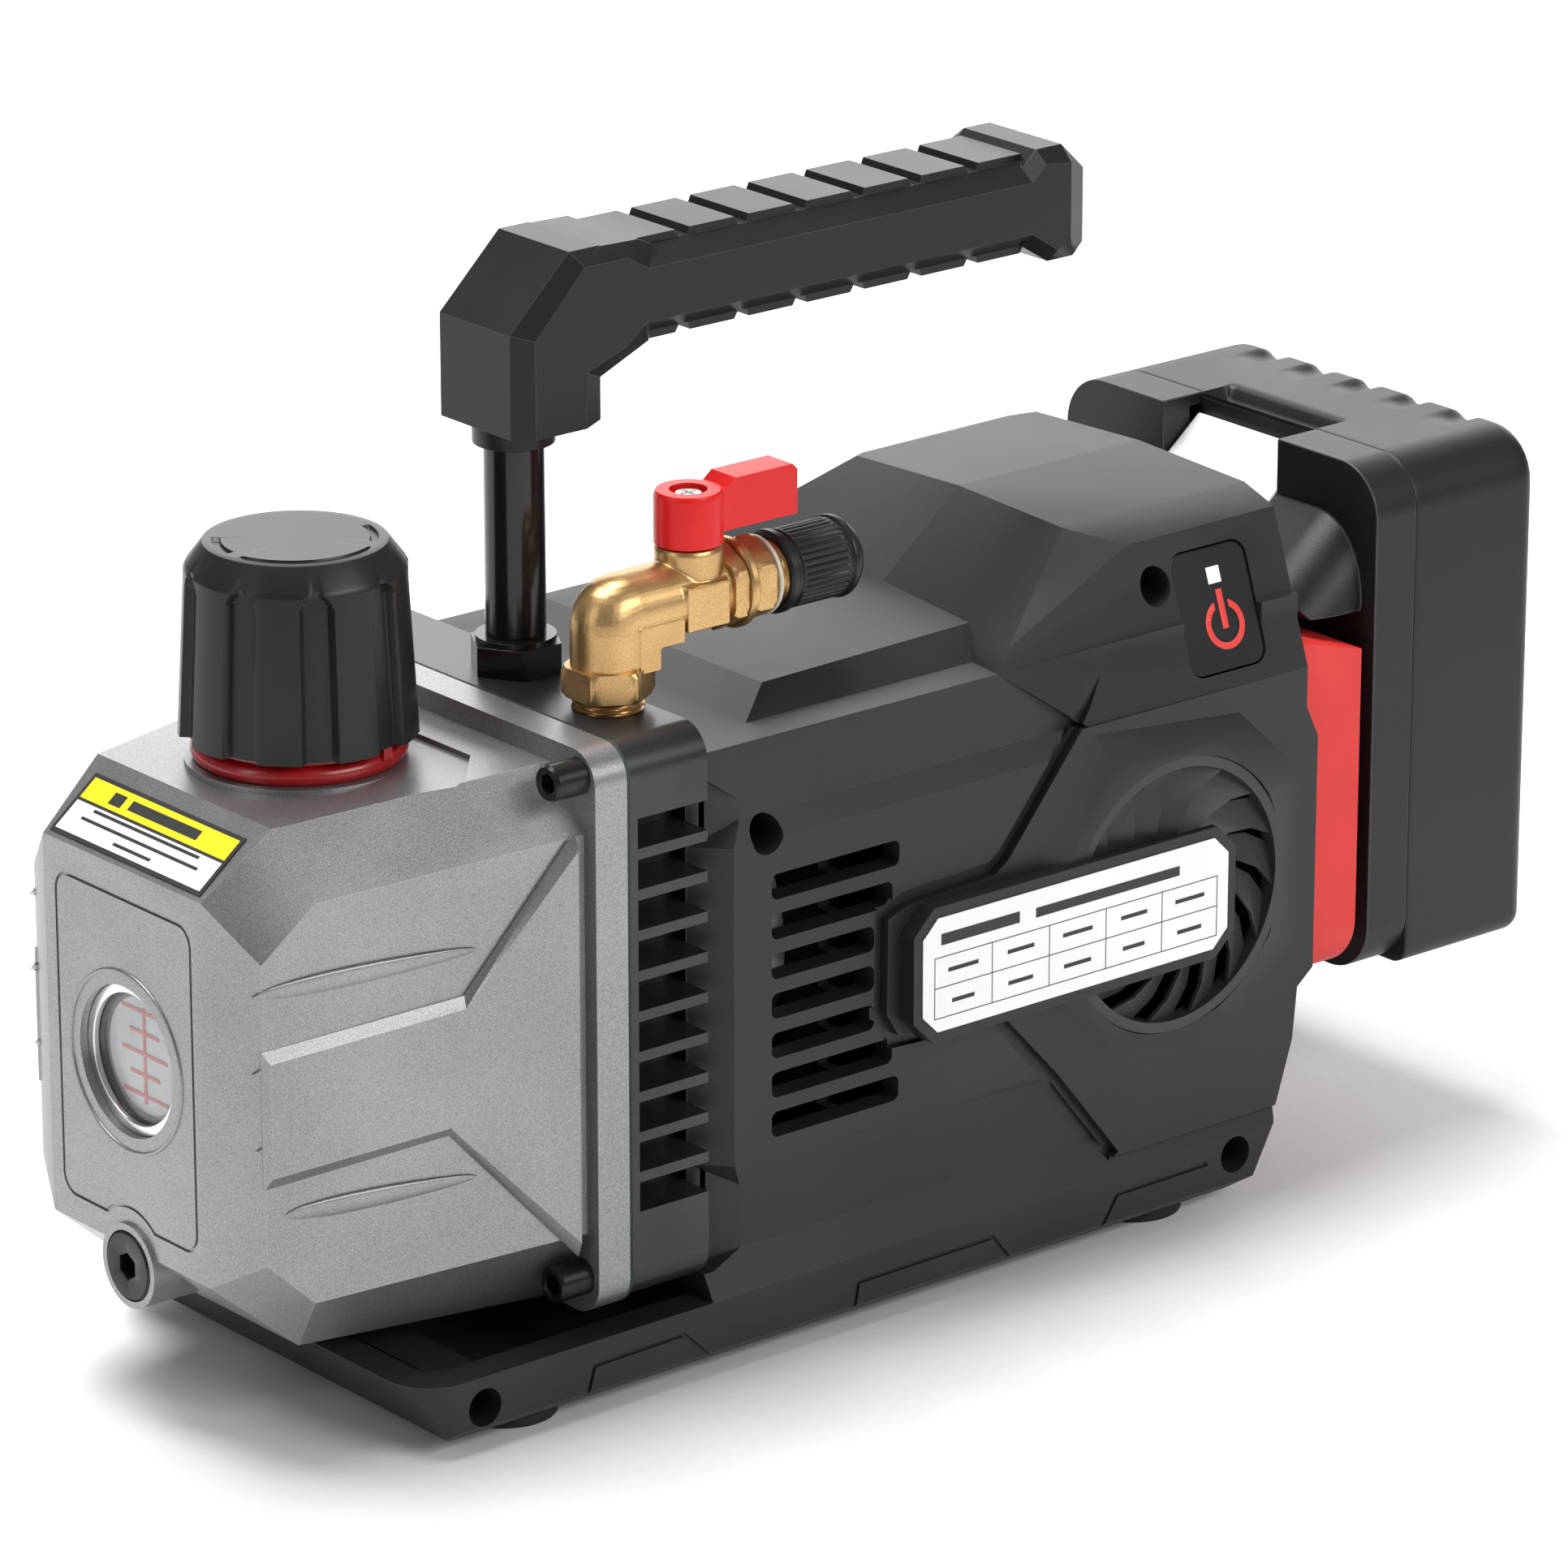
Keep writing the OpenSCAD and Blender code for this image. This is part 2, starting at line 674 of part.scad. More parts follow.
module inlet_elbow() {
  px = inlet_pos.x;
  py = inlet_pos.y;
  color("#b98f52") difference() {
    union() {
      rod_z(inlet_r, 142, 156, px, py);
      rod_z(10.6, 156, 163, px, py, $fn = 6);
      rod_z(pipe_r, 163, pipe_z, px, py);
      translate([px, py, pipe_z]) sphere(pipe_r + 0.3);
      rod_x(pipe_r - 0.2, px, 13, py, pipe_z);
    }
    rod_z(passage_r, 140, pipe_z, px, py);
    rod_x(passage_r, px, 14, py, pipe_z);
  }
}

module valve_body() {
  py = inlet_pos.y;
  color("#b98f52") difference() {
    union() {
      rod_x(pipe_r, 13, 33, py, pipe_z);
      box([14.5, py - 9.4, 169.3], [27.5, py + 9.4, 179.5]);
      translate([28.5, py, pipe_z]) rotate([0, 90, 0]) cylinder(r = 10.8, h = 4.5, $fn = 6);
      rod_z(7.5, pipe_z, 186.8, stem_x, py);
    }
    rod_x(passage_r, 12, 34, py, pipe_z);
    translate([stem_x, py, pipe_z]) sphere(ball_r + run_gap);
    rod_z(3 + run_gap, pipe_z, 190, stem_x, py);
  }
}

module valve_ball() {
  color("silver") difference() {
    translate([stem_x, inlet_pos.y, pipe_z]) sphere(ball_r);
    rod_x(passage_r, stem_x - 8, stem_x + 8, inlet_pos.y, pipe_z);
    box([stem_x - 3.1, inlet_pos.y - 0.8, pipe_z + 5.2], [stem_x + 3.1, inlet_pos.y + 0.8, pipe_z + 8]);
  }
}

module valve_stem() {
  color("#c9a568") {
    rod_z(3, pipe_z + 6.9, 193.5, stem_x, inlet_pos.y);
    box([stem_x - 2.4, inlet_pos.y - 0.75, pipe_z + 5.3], [stem_x + 2.4, inlet_pos.y + 0.75, pipe_z + 7]);
  }
}

module valve_lever() {
  py = inlet_pos.y;
  color("#d3262b") difference() {
    union() {
      hull() {
        rod_z(8, 187.1, 198, stem_x, py, $fn = 32);
        rod_z(7.4, 187.1, 199.4, stem_x, py, $fn = 32);
      }
      across(py - 4.4, py + 4.4) polygon([[stem_x, 189], [51, 189], [51, 199.6], [49.6, 201], [33, 201],
        [30.5, 199], [stem_x, 199]]);
    }
    rod_z(3, 180, 193.5, stem_x, py);
    rod_z(4.4, 196.5, 205, stem_x, py);
    rod_z(1.5, 190, 205, stem_x, py);
  }
}

module lever_screw() {
  color("silver") difference() {
    union() {
      rod_z(3, 196.5, 198.6, stem_x, inlet_pos.y);
      rod_z(1.5, 193.5, 196.5, stem_x, inlet_pos.y);
    }
    box([stem_x - 2, inlet_pos.y - 0.4, 197.8], [stem_x + 2, inlet_pos.y + 0.4, 200]);
    box([stem_x - 0.4, inlet_pos.y - 2, 197.8], [stem_x + 0.4, inlet_pos.y + 2, 200]);
  }
}

module port_fitting() {
  py = inlet_pos.y;
  color("#b98f52") difference() {
    union() {
      rod_x(10.4, 33, 40, py, pipe_z);
      rod_x(9.2, 40, 42, py, pipe_z);
      rod_x(port_r, 42, 58, py, pipe_z);
      translate([58, py, pipe_z]) rotate([0, 90, 0]) cylinder(r1 = port_r, r2 = port_r - 3, h = 3);
    }
    rod_x(passage_r, 30, 65, py, pipe_z);
  }
}

module port_washer() {
  color("whitesmoke") tube_x(9.4, port_r + 0.1, 42, 43.1, inlet_pos.y, pipe_z);
}

module port_cap() {
  color("#1b1c1d") difference() {
    translate([0, inlet_pos.y, pipe_z]) rotate([0, 90, 0]) rotate_extrude()
      polygon([[0, 45.4], [9.8, 45.4], [9.8, 48.4], [9.3, 48.8], [9.3, 63.6], [9.8, 64], [9.8, 66],
        [8.3, 68], [0, 68]]);
    rod_x(port_r + run_gap, 40, 63.2, inlet_pos.y, pipe_z);
  }
}

module port_cap_seal() {
  color("#202020") rod_x(7.2, 61, 63.2, inlet_pos.y, pipe_z);
}

// ---- pump inside the tank ----

module pump_stator(x0, x1) {
  color("#6d6f72") difference() {
    rod_x(30, x0, x1);
    rod_x(bore_r, x0 - 1, x1 + 1, 0, shaft_z - bore_drop);
    for (a = [45:90:315]) rod_x(2.2, x0 - 1, x1 + 1, 25.5 * cos(a), shaft_z + 25.5 * sin(a));
  }
}

module stator_first() {
  pump_stator(-44, flange_x + 0.8);
}

module stator_second() {
  pump_stator(-66, -50);
}

module pump_plate(x0, x1, depth) {
  color("#7c7e80") difference() {
    rod_x(30, x0, x1);
    rod_x(8 + run_gap, depth, x1 + 1);
    for (a = [45:90:315]) rod_x(2.2, x0 - 1, x1 + 1, 25.5 * cos(a), shaft_z + 25.5 * sin(a));
  }
}

module middle_plate() {
  pump_plate(-50, -44, -51);
}

module end_plate() {
  pump_plate(-74, -66, -71);
}

// Shaft with both rotors and their vane slots
module pump_shaft() {
  color("#9a9da0") difference() {
    union() {
      rod_x(8, -70.8, 27);
      for (span = rotor_spans) rod_x(rotor_r, span[0], span[1]);
    }
    for (span = rotor_spans, y = [-rotor_r, rotor_r - 11])
      box([span[0], y, shaft_z - vane_half - run_gap], [span[1], y + 11, shaft_z + vane_half + run_gap]);
    rod_x(5, 15, 28);
  }
}

module rotor_vanes() {
  color("#2f2a26") for (span = rotor_spans, y = [-rotor_r + 0.4, rotor_r - 10.4])
    box([span[0], y, shaft_z - vane_half], [span[1], y + 10, shaft_z + vane_half]);
}

module oil_seal() {
  color("#5a2f22") tube_x(14, 8 + run_gap, 2, front_x);
}

module reed_valve() {
  color("lightsteelblue") box([-64, -7, shaft_z + 30.1], [-52, 7, shaft_z + 31.6]);
}

// ---- motor ----

module motor_can() {
  color("#55585b") difference() {
    rod_x(motor_r, 36, 116);
    rod_x(motor_r - 2, 39, 113);
    rod_x(11, 30, 120);
  }
}

module motor_stator() {
  color("#b0622c") difference() {
    rod_x(motor_r - 2, 50, 102);
    rod_x(23, 49, 103);
  }
}

module motor_rotor() {
  color("#777a7d") {
    rod_x(22, 52, 100);
    rod_x(5, 15, 152);
  }
}

module motor_bearings() {
  color("silver") for (x = [32, 110]) tube_x(11, 5 + run_gap, x + 1, x + 8);
}

module cooling_fan(blades = 9) {
  color("#303234") difference() {
    union() {
      rod_x(9, 124, 142);
      rod_x(40, 124, 126);
      for (i = [0:blades - 1]) translate([0, 0, shaft_z]) rotate([i * 360 / blades, 0, 0])
        box([125, -1, 8], [140, 1, 39]);
    }
    rod_x(5, 120, 145);
  }
}

// ---- battery and its dock ----

module battery_dock() {
  color("#d2302f") difference() {
    union() {
      // side walls and plate
      intersection() {
        across(-57, 57) polygon([[190.9, 118.4], [rear_x + 0.1, 110.6], [rear_x + 0.1, 44], [dock_face, 44],
          [dock_face, 127], [190.9, 133]]);
        along(180, dock_face) rounded_square([-57, 44], [57, 160], 14);
      }
      // rails that carry the battery
      box([dock_face, -20, 52], [218.2, 20, 118]);
      box([216.4, -24, 52], [219.2, 24, 118]);
    }
    box([185, -14, 88], [200, 14, 110]);
  }
}

module dock_terminals() {
  color("#c9a568") for (y = [-15, -5, 5, 15]) box([219.2, y - 0.6, 70], [224, y + 0.6, 90]);
}

// Outline of the battery in y and z
module battery_outline(inset = 0) {
  rounded_square([-battery_half + inset, 41 + inset], [battery_half - inset, 170 - inset], 13 - inset);
}

// Frame on the sloping front edge: X runs out of the slope and Z runs down it
module on_slope(z = 166.5) {
  translate([seam_x, 0, z]) rotate([0, 270 - battery_slope, 0]) children();
}

module battery_front() {
  color("#1d1e1f") difference() {
    union() {
      along(battery_face, seam_x) battery_outline();
      // sloping nose over the dock
      intersection() {
        for (z = [151, 166.5]) on_slope(z) hull()
          for (y = [-36, 36]) translate([-15, y, -4]) cylinder(r = 15, h = 46, $fn = 32);
        box([198, -60, 134], [seam_x - 5, 60, 170]);
      }
    }
    // hollow for the cells
    along(226, seam_x + 1) battery_outline(3);
    // channel for the dock's rails
    box([battery_face - 1, -20.4, 30], [226, 20.4, 118.6]);
    box([215.8, -24.4, 30], [219.8, 24.4, 118.6]);
    box([219, -18, 30], [225, 18, 118.6]);
    // seat of the latch
    on_slope() box([-2.2, -20.5, -20], [40, 20.5, 31.5]);
  }
}

module battery_rear() {
  color("#232425") difference() {
    intersection() {
      along(seam_x, battery_end) battery_outline();
      across(-60, 60) polygon([[seam_x, 41], [battery_end - 5, 42], [battery_end, 47], [battery_end, 167],
        [battery_end - 3, 170], [seam_x, 170]]);
    }
    along(seam_x - 1, battery_end - 3) battery_outline(9);
  }
}

module battery_latch() {
  color("whitesmoke") on_slope() box([-2, -20, 2], [0.2, 20, 28]);
}

module battery_cells() {
  color("teal") for (i = [0:4], x = [239.5, 258.2])
    rod_y(cell_r, -32.5, 32.5, x, 70 + i * 18.4);
}

place() housing_right();
place() housing_left();
place() housing_screws();
place() feet();
place() fan_grille_right();
place() fan_grille_left();
place() rating_label();
place() caution_label();
place() power_button();
place() power_icon();
place() status_light();
place() button_switch();
place() control_board();
place() oil_tank();
place() tank_gasket();
place() tank_screws();
place() sight_glass();
place() sight_ring();
place() sight_oring();
place() level_plate();
place() level_marks();
place() drain_plug();
place() drain_oring();
place() exhaust_cap();
place() cap_ring();
place() exhaust_filter();
place() pump_block();
place() handle_nut();
place() handle_post();
place() post_collar();
place() handle_grip();
place() inlet_elbow();
place() valve_body();
place() valve_ball();
place() valve_stem();
place() valve_lever();
place() lever_screw();
place() port_fitting();
place() port_washer();
place() port_cap_seal();
place() port_cap();
place() stator_first();
place() stator_second();
place() middle_plate();
place() end_plate();
place() pump_shaft();
place() rotor_vanes();
place() oil_seal();
place() reed_valve();
place() motor_can();
place() motor_stator();
place() motor_rotor();
place() motor_bearings();
place() cooling_fan();
place() battery_dock();
place() dock_terminals();
place() battery_front();
place() battery_rear();
place() battery_latch();
place() battery_cells();
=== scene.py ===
import json
import math

import bmesh
import bpy
from mathutils import Matrix, Vector


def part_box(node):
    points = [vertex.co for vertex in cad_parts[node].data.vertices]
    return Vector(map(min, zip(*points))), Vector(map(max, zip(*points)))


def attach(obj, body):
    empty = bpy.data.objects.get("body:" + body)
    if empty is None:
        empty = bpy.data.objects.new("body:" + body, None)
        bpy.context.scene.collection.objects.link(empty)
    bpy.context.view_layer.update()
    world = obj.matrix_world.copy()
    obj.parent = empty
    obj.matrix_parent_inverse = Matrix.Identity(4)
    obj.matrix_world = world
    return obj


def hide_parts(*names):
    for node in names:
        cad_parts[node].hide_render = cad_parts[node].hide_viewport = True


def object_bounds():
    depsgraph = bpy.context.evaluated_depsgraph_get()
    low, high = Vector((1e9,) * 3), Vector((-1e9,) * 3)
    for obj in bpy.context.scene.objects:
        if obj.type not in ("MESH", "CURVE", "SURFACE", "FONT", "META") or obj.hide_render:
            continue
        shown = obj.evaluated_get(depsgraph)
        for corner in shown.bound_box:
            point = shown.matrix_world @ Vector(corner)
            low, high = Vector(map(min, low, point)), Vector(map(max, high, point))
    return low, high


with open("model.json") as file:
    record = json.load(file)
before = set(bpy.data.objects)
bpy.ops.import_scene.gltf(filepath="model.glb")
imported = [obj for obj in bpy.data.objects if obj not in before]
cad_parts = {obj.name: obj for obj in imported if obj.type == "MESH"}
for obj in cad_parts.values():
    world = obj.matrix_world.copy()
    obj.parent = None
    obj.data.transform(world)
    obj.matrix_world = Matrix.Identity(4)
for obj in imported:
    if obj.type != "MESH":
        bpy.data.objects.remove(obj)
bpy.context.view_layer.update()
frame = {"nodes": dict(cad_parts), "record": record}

MM = 0.001
NODES = frame["nodes"]
BODY_OF = {n: body for body, names in frame["record"]["behaviour"]["bodies"].items() for n in names}

# Places below are given in millimetres from the handle post's axis and the underside of the base.
POST_LOW, POST_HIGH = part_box("handle_post")
POST_X = (POST_LOW.x + POST_HIGH.x) / 2
BASE_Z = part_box("housing_right")[0].z


def at(x, y, z):
    return Vector((POST_X + x * MM, y * MM, BASE_Z + z * MM))


def in_mm(point):
    return Vector(((point[0] - POST_X) / MM, point[1] / MM, (point[2] - BASE_Z) / MM))


# ---- camera, floor and lights ----

VIEW_DIRECTION = Vector((0.6016, 0.7266, -0.3318))
VIEW_TARGET = Vector((0, 0, 0.1109))
VIEW_DISTANCE = 1.9353
LENS = 188.4


def add_camera():
    camera = bpy.data.objects.new("camera", bpy.data.cameras.new("camera"))
    camera.data.lens = LENS
    camera.data.sensor_width = 36
    camera.location = VIEW_TARGET - VIEW_DISTANCE * VIEW_DIRECTION
    camera.rotation_euler = VIEW_DIRECTION.to_track_quat("-Z", "Y").to_euler()
    bpy.context.scene.collection.objects.link(camera)
    bpy.context.scene.camera = camera


def add_light(name, place, target, size, power):
    """A soft rectangular light of size (width, height) in metres."""
    data = bpy.data.lights.new(name, "AREA")
    data.shape = "RECTANGLE"
    data.size, data.size_y = size
    data.energy = power
    light = bpy.data.objects.new(name, data)
    light.location = place
    light.rotation_euler = (Vector(target) - Vector(place)).to_track_quat("-Z", "Y").to_euler()
    bpy.context.scene.collection.objects.link(light)


def add_studio():
    world = bpy.data.worlds.new("studio")
    world.use_nodes = True
    background = world.node_tree.nodes["Background"]
    background.inputs["Color"].default_value = (1, 1, 1, 1)
    background.inputs["Strength"].default_value = 0.2
    bpy.context.scene.world = world
    bpy.context.scene.view_settings.view_transform = "Standard"
    middle = (0, 0, 0.12)
    add_light("side_softbox", (0.5, -2.0, 1.3), middle, (1.6, 1.0), 28)
    add_light("left_strip", (-2.0, 0.1, 0.9), middle, (0.5, 1.4), 5)
    add_light("top_softbox", (-0.1, 0.5, 2.0), middle, (1.6, 1.2), 60)
    add_light("backdrop_light", (1.4, 1.7, 1.0), middle, (3.0, 1.4), 30)
    # floor
    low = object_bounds()[0].z
    mesh = bpy.data.meshes.new("floor")
    half = 6
    mesh.from_pydata([(-half, -half, low), (half, -half, low), (half, half, low), (-half, half, low)],
                     [], [(0, 1, 2, 3)])
    floor = bpy.data.objects.new("floor", mesh)
    mesh.materials.append(surface("floor_pale", (0.86, 0.86, 0.86), (0.9, 0.9, 0.9), 3, 0.0, 0.6))
    bpy.context.scene.collection.objects.link(floor)


# ---- materials ----

def surface(name, dark, light, grain, bump, roughness, metallic=0.0, speckle=0.35, blotch=35, coat=0.0,
            specular=0.5):
    """A finish whose colour wanders between two tones. grain and blotch are the sizes of the fine and
    the broad pattern in mm, bump is the height of the grain in mm, speckle its share of the colour and
    specular the strength of the reflection."""
    material = bpy.data.materials.new(name)
    material.use_nodes = True
    nodes, links = material.node_tree.nodes, material.node_tree.links
    shader = nodes["Principled BSDF"]
    shader.inputs["Metallic"].default_value = metallic
    shader.inputs["Specular IOR Level"].default_value = specular
    shader.inputs["Coat Weight"].default_value = coat
    shader.inputs["Coat Roughness"].default_value = 0.12
    place = nodes.new("ShaderNodeTexCoord")

    def pattern(size, detail):
        texture = nodes.new("ShaderNodeTexNoise")
        texture.inputs["Scale"].default_value = 1 / (size * MM)
        texture.inputs["Detail"].default_value = detail
        links.new(place.outputs["Object"], texture.inputs["Vector"])
        return texture.outputs["Fac"]

    fine = pattern(grain, 2)
    broad = pattern(blotch, 3)
    share = nodes.new("ShaderNodeMix")
    share.inputs["Factor"].default_value = speckle
    links.new(broad, share.inputs["A"])
    links.new(fine, share.inputs["B"])
    spread = nodes.new("ShaderNodeMapRange")
    spread.inputs["From Min"].default_value = 0.35
    spread.inputs["From Max"].default_value = 0.65
    links.new(share.outputs["Result"], spread.inputs["Value"])
    colour = nodes.new("ShaderNodeMix")
    colour.data_type = "RGBA"
    colour.inputs["A"].default_value = (*dark, 1)
    colour.inputs["B"].default_value = (*light, 1)
    links.new(spread.outputs["Result"], colour.inputs["Factor"])
    links.new(colour.outputs["Result"], shader.inputs["Base Color"])
    gloss = nodes.new("ShaderNodeMapRange")
    gloss.inputs["To Min"].default_value = roughness - 0.05
    gloss.inputs["To Max"].default_value = roughness + 0.05
    links.new(broad, gloss.inputs["Value"])
    links.new(gloss.outputs["Result"], shader.inputs["Roughness"])
    if bump:
        relief = nodes.new("ShaderNodeBump")
        relief.inputs["Distance"].default_value = bump * MM
        links.new(fine, relief.inputs["Height"])
        links.new(relief.outputs["Normal"], shader.inputs["Normal"])
    return material


def moulded(name, tone, grain=0.35, bump=0.03, roughness=0.42):
    """Dark moulded plastic with a fine spark-eroded grain."""
    return surface(name, [t * 0.82 for t in tone], [t * 1.2 for t in tone], grain, bump, roughness,
                   specular=0.32)


def clear_glass():
    material = surface("glass", (0.92, 0.96, 0.97), (1, 1, 1), 2, 0.002, 0.06)
    shader = material.node_tree.nodes["Principled BSDF"]
    shader.inputs["Transmission Weight"].default_value = 0.95
    shader.inputs["IOR"].default_value = 1.45
    return material


BLACK = (0.014, 0.0145, 0.0155)
MOULDED = {
    "housing_plastic": dict(tone=(0.0185, 0.019, 0.020)),
    # a lighter copy of the housing plastic for its rounded edges: a painted highlight
    "housing_painted_highlight": dict(tone=(0.11, 0.112, 0.115), roughness=0.3),
    "grip_plastic": dict(tone=(0.0095, 0.0098, 0.0105), grain=0.3, bump=0.018, roughness=0.36),
    # a lighter copy of the grip plastic for its rounded edges: a painted highlight
    "grip_painted_highlight": dict(tone=(0.07, 0.071, 0.074), roughness=0.3),
    "battery_black": dict(tone=(0.012, 0.0122, 0.013), bump=0.04, roughness=0.4),
    # a lighter copy of the battery plastic for its rounded edges: a painted highlight
    "battery_painted_highlight": dict(tone=(0.05, 0.051, 0.054), roughness=0.28),
    "grille_plastic": dict(tone=(0.034, 0.035, 0.037), roughness=0.36),
    "foot_rubber": dict(tone=(0.018, 0.018, 0.018), roughness=0.75),
    "button_plastic": dict(tone=BLACK, roughness=0.34),
    "seal_rubber": dict(tone=(0.015, 0.015, 0.015), roughness=0.6),
    "knob_plastic": dict(tone=BLACK, grain=0.3, bump=0.02, roughness=0.34),
    "vane_resin": dict(tone=(0.07, 0.05, 0.035)),
}
# the darkest and the lightest tone, the grain and its height in mm, the roughness and the metallic share
PLAIN = {
    "fastener_black": ((0.012, 0.012, 0.013), (0.024, 0.024, 0.026), 0.5, 0.01, 0.3, 0.6),
    "label_white": ((0.84, 0.84, 0.83), (0.9, 0.9, 0.9), 0.3, 0.004, 0.35),
    "label_yellow": ((0.9, 0.75, 0.01), (0.95, 0.82, 0.02), 0.3, 0.004, 0.35),
    "icon_red": ((0.7, 0.04, 0.03), (0.8, 0.06, 0.045), 0.4, 0.0, 0.4),
    "light_white": ((0.9, 0.9, 0.9), (1, 1, 1), 0.4, 0.0, 0.4),
    "board_green": ((0.01, 0.1, 0.03), (0.02, 0.16, 0.05), 1.5, 0.01, 0.4),
    "gasket": ((0.02, 0.04, 0.03), (0.04, 0.07, 0.05), 0.5, 0.02, 0.7),
    "bright_steel": ((0.6, 0.6, 0.61), (0.75, 0.75, 0.76), 0.4, 0.004, 0.22, 1.0),
    "gauge_white": ((0.55, 0.57, 0.58), (0.8, 0.82, 0.83), 6, 0.01, 0.35),
    "filter_felt": ((0.45, 0.38, 0.24), (0.62, 0.54, 0.38), 0.5, 0.1, 0.9),
    "block_black": ((0.02, 0.0205, 0.022), (0.04, 0.041, 0.043), 0.4, 0.012, 0.3, 0.3),
    "machined_steel": ((0.35, 0.35, 0.36), (0.5, 0.5, 0.51), 0.3, 0.004, 0.3, 1.0),
    "motor_steel": ((0.25, 0.26, 0.27), (0.38, 0.39, 0.4), 0.4, 0.004, 0.35, 1.0),
    "winding_copper": ((0.45, 0.16, 0.06), (0.7, 0.3, 0.13), 0.5, 0.05, 0.35, 0.9),
    "latch_white": ((0.8, 0.8, 0.8), (0.88, 0.88, 0.88), 0.4, 0.006, 0.4),
    "washer_nylon": ((0.5, 0.44, 0.34), (0.66, 0.6, 0.5), 1.0, 0.004, 0.35),
    "cell_wrap": ((0.02, 0.25, 0.3), (0.05, 0.32, 0.38), 2, 0.0, 0.3),
    "print_black": ((0.01, 0.01, 0.01), (0.02, 0.02, 0.02), 0.4, 0.0, 0.5),
}
MATERIALS = {name: moulded(name, **values) for name, values in MOULDED.items()}
MATERIALS.update({name: surface(name, *values) for name, values in PLAIN.items()})
MATERIALS.update({
    "clear_glass": clear_glass(),
    "cast_metal": surface("cast_metal", (0.2, 0.2, 0.206), (0.36, 0.36, 0.37), grain=0.3, bump=0.03,
                          roughness=0.33, metallic=0.7, speckle=0.75),
    # a lighter copy of the cast metal for the tank's rounded edges: a painted highlight
    "cast_painted_highlight": surface("cast_painted_highlight", (0.42, 0.42, 0.43), (0.6, 0.6, 0.61), grain=0.3, bump=0.015,
                         roughness=0.32, metallic=0.6, speckle=0.75),
    "brass": surface("brass", (0.47, 0.275, 0.1), (0.7, 0.47, 0.22), grain=0.25, bump=0.018,
                     roughness=0.34, metallic=0.9, speckle=0.7, blotch=12),
    "post_black": surface("post_black", (0.008, 0.008, 0.009), (0.014, 0.014, 0.015), grain=1.0,
                          bump=0.003, roughness=0.16, coat=0.15, specular=0.35),
    "lever_red": surface("lever_red", (0.62, 0.008, 0.008), (0.74, 0.012, 0.011), grain=0.6,
                         bump=0.008, roughness=0.34, coat=0.05, specular=0.3),
    "ring_red": surface("ring_red", (0.3, 0.004, 0.006), (0.42, 0.008, 0.01), grain=0.5,
                        bump=0.006, roughness=0.28, coat=0.2),
    "dock_red": surface("dock_red", (0.6, 0.026, 0.022), (0.72, 0.036, 0.03), grain=0.35,
                        bump=0.012, roughness=0.45, specular=0.35),
})
SLOT_OF = {part["node"]: part["material_slot"] for part in frame["record"]["subparts"]}


# ---- the CAD pieces ----

SAME_POINT = 2e-6        # metres
FLAT_ENOUGH = math.radians(1.5)
SHARP_EDGE = math.radians(28)


def dress(node, bevel, segments=2, edge=None):
    """Gives a CAD node its finish and rounds its edges by bevel mm. When edge is given, the rounded edges
    get that lighter copy of the finish as a painted highlight.
    """
    piece = NODES[node]
    piece.data.materials.clear()
    piece.data.materials.append(MATERIALS[SLOT_OF[node]])
    piece.data.shade_smooth()
    weld = piece.modifiers.new("weld", "WELD")
    weld.merge_threshold = SAME_POINT
    if bevel:
        flat = piece.modifiers.new("flat", "DECIMATE")
        flat.decimate_type = "DISSOLVE"
        flat.angle_limit = FLAT_ENOUGH
        rounding = piece.modifiers.new("rounding", "BEVEL")
        rounding.width = bevel * MM
        rounding.segments = segments
        rounding.limit_method = "ANGLE"
        rounding.angle_limit = SHARP_EDGE
        rounding.use_clamp_overlap = True
        rounding.miter_outer = "MITER_ARC"
        # the lighter copy of the finish goes on the rounded edges as a painted highlight
        if edge:
            piece.data.materials.append(MATERIALS[edge])
            rounding.material = 1
    normals = piece.modifiers.new("normals", "WEIGHTED_NORMAL")
    normals.weight = 90
    normals.keep_sharp = False


BEVELS = {
    "housing_right": 0.5, "housing_left": 0.5, "oil_tank": 1.0, "pump_block": 0.6, "handle_grip": 0.7,
    "battery_front": 1.2, "battery_dock": 0.8, "battery_latch": 0.6, "handle_nut": 0.5,
    "valve_lever": 0.6, "power_button": 0.5,
}
SMALL_BEVEL = 0.3
SEGMENTS = {"oil_tank": 4, "battery_front": 3}
# lighter copies of the finishes, painted on the rounded edges as highlights
PAINTED_EDGE_HIGHLIGHTS = {
    "housing_right": "housing_painted_highlight", "housing_left": "housing_painted_highlight", "oil_tank": "cast_painted_highlight",
    "handle_grip": "grip_painted_highlight", "battery_front": "battery_painted_highlight",
}
# nodes too thin to round, and those out of sight
NOT_ROUNDED = {
    "rating_label", "power_icon", "status_light", "level_marks", "tank_gasket",
    "button_switch", "control_board", "stator_first", "stator_second", "middle_plate", "end_plate",
    "pump_shaft", "rotor_vanes", "oil_seal", "reed_valve", "motor_can", "motor_stator", "motor_rotor",
    "motor_bearings", "cooling_fan", "exhaust_filter", "valve_ball", "port_cap_seal", "battery_cells",
}


def dress_all():
    """Dresses every CAD node that no mesh replaces."""
    for node, piece in NODES.items():
        if piece.hide_render:
            continue
        bevel = 0 if node in NOT_ROUNDED else BEVELS.get(node, SMALL_BEVEL)
        dress(node, bevel, SEGMENTS.get(node, 2), PAINTED_EDGE_HIGHLIGHTS.get(node))


# ---- building meshes ----


